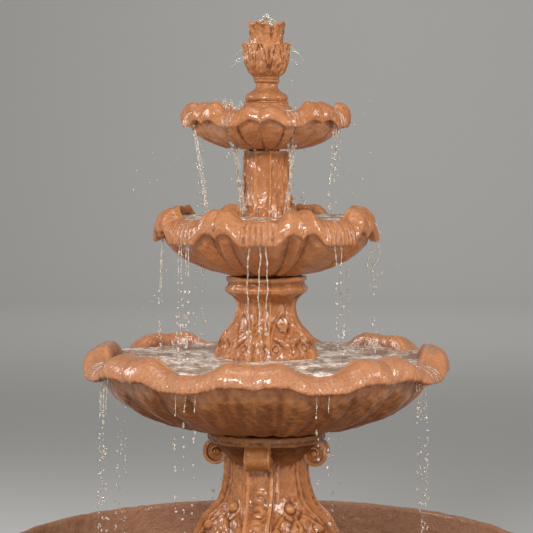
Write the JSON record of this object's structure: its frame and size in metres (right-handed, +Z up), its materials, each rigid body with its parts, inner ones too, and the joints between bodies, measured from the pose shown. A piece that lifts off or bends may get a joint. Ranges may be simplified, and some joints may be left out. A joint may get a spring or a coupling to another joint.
{
  "type": "tiered water fountain",
  "caption": "Cast-stone garden fountain: scalloped shell bowls in rising tiers on scrolled pedestals, a bud finial, a round pool below and a submersible pump inside.",
  "frame": {"origin": "on the ground, under the middle of the pool's foot", "axes": "+Z up along the fountain's axis; -Y is the front, where one scroll console of each pedestal faces; +X to the right seen from the front; the pump's arch and the drain are at the back, towards +Y"},
  "size_m": [1.432, 1.432, 1.793],
  "materials": {
    "pool_stone": "damp terracotta-coloured cast stone, lightly pitted, satin",
    "pedestal_stone": "wet terracotta-coloured cast stone, lightly pitted, glossy where water runs",
    "bowl_stone": "wet terracotta-coloured cast stone, lightly pitted, glossy where water runs",
    "finial_stone": "wet terracotta-coloured cast stone, glossy",
    "shim_plastic": "black moulded, satin",
    "stopper_rubber": "black moulded rubber, matte",
    "tube_vinyl": "clear vinyl, slightly clouded",
    "nozzle_brass": "turned brass, dulled by water",
    "clamp_steel": "stainless, fine brushed",
    "pump_plastic": "black moulded, fine texture",
    "rotor_plastic": "blue moulded, satin",
    "shaft_ceramic": "ground white ceramic",
    "pump_foot_rubber": "soft black rubber",
    "water": "clear moving water; only in the visual model, on no node"
  },
  "bodies": {
    "fountain": {"pool": "pool_stone", "lower_pedestal": "pedestal_stone", "bottom_bowl": "bowl_stone", "middle_pedestal": "pedestal_stone", "middle_bowl": "bowl_stone", "top_pedestal": "pedestal_stone", "top_bowl": "bowl_stone", "finial_base": "finial_stone", "finial": "finial_stone", "bottom_bowl_shim_1": "shim_plastic", "bottom_bowl_shim_2": "shim_plastic", "bottom_bowl_shim_3": "shim_plastic", "middle_bowl_shim_1": "shim_plastic", "middle_bowl_shim_2": "shim_plastic", "middle_bowl_shim_3": "shim_plastic", "top_bowl_shim_1": "shim_plastic", "top_bowl_shim_2": "shim_plastic", "top_bowl_shim_3": "shim_plastic", "bottom_bowl_stopper": "stopper_rubber", "middle_bowl_stopper": "stopper_rubber", "top_bowl_stopper": "stopper_rubber", "riser_tube": "tube_vinyl", "spray_nozzle": "nozzle_brass", "hose_clamp": "clamp_steel", "pump_housing": "pump_plastic", "pump_volute_cover": "pump_plastic", "pump_shaft": "shaft_ceramic", "pump_shaft_bush": "pump_foot_rubber", "pump_outlet_barb": "pump_plastic", "pump_cord_gland": "pump_plastic", "pump_foot_1": "pump_foot_rubber", "pump_foot_2": "pump_foot_rubber", "pump_foot_3": "pump_foot_rubber", "pump_foot_4": "pump_foot_rubber"},
    "impeller": {"pump_impeller": "rotor_plastic"},
    "flow_dial": {"pump_flow_dial": "rotor_plastic"},
    "intake_strainer": {"pump_intake_strainer": "pump_plastic"},
    "drain_stopper": {"drain_stopper": "stopper_rubber"}
  },
  "joints": [
    {"name": "impeller_spin", "type": "hinge", "parent": "fountain", "child": "impeller", "pos_m": [0, 0, 0.153], "axis": [0, 1, 0], "continuous": true},
    {"name": "flow_dial_turn", "type": "hinge", "parent": "fountain", "child": "flow_dial", "pos_m": [0.0353, 0.02, 0.16], "axis": [1, 0, 0], "range_deg": [-45, 45]},
    {"name": "intake_strainer_slide", "type": "slide", "parent": "fountain", "child": "intake_strainer", "axis": [0, -1, 0], "range_m": [0, 0.03]},
    {"name": "drain_stopper_lift", "type": "slide", "parent": "fountain", "child": "drain_stopper", "axis": [0, 0, 1], "range_m": [0, 0.09]}
  ]
}
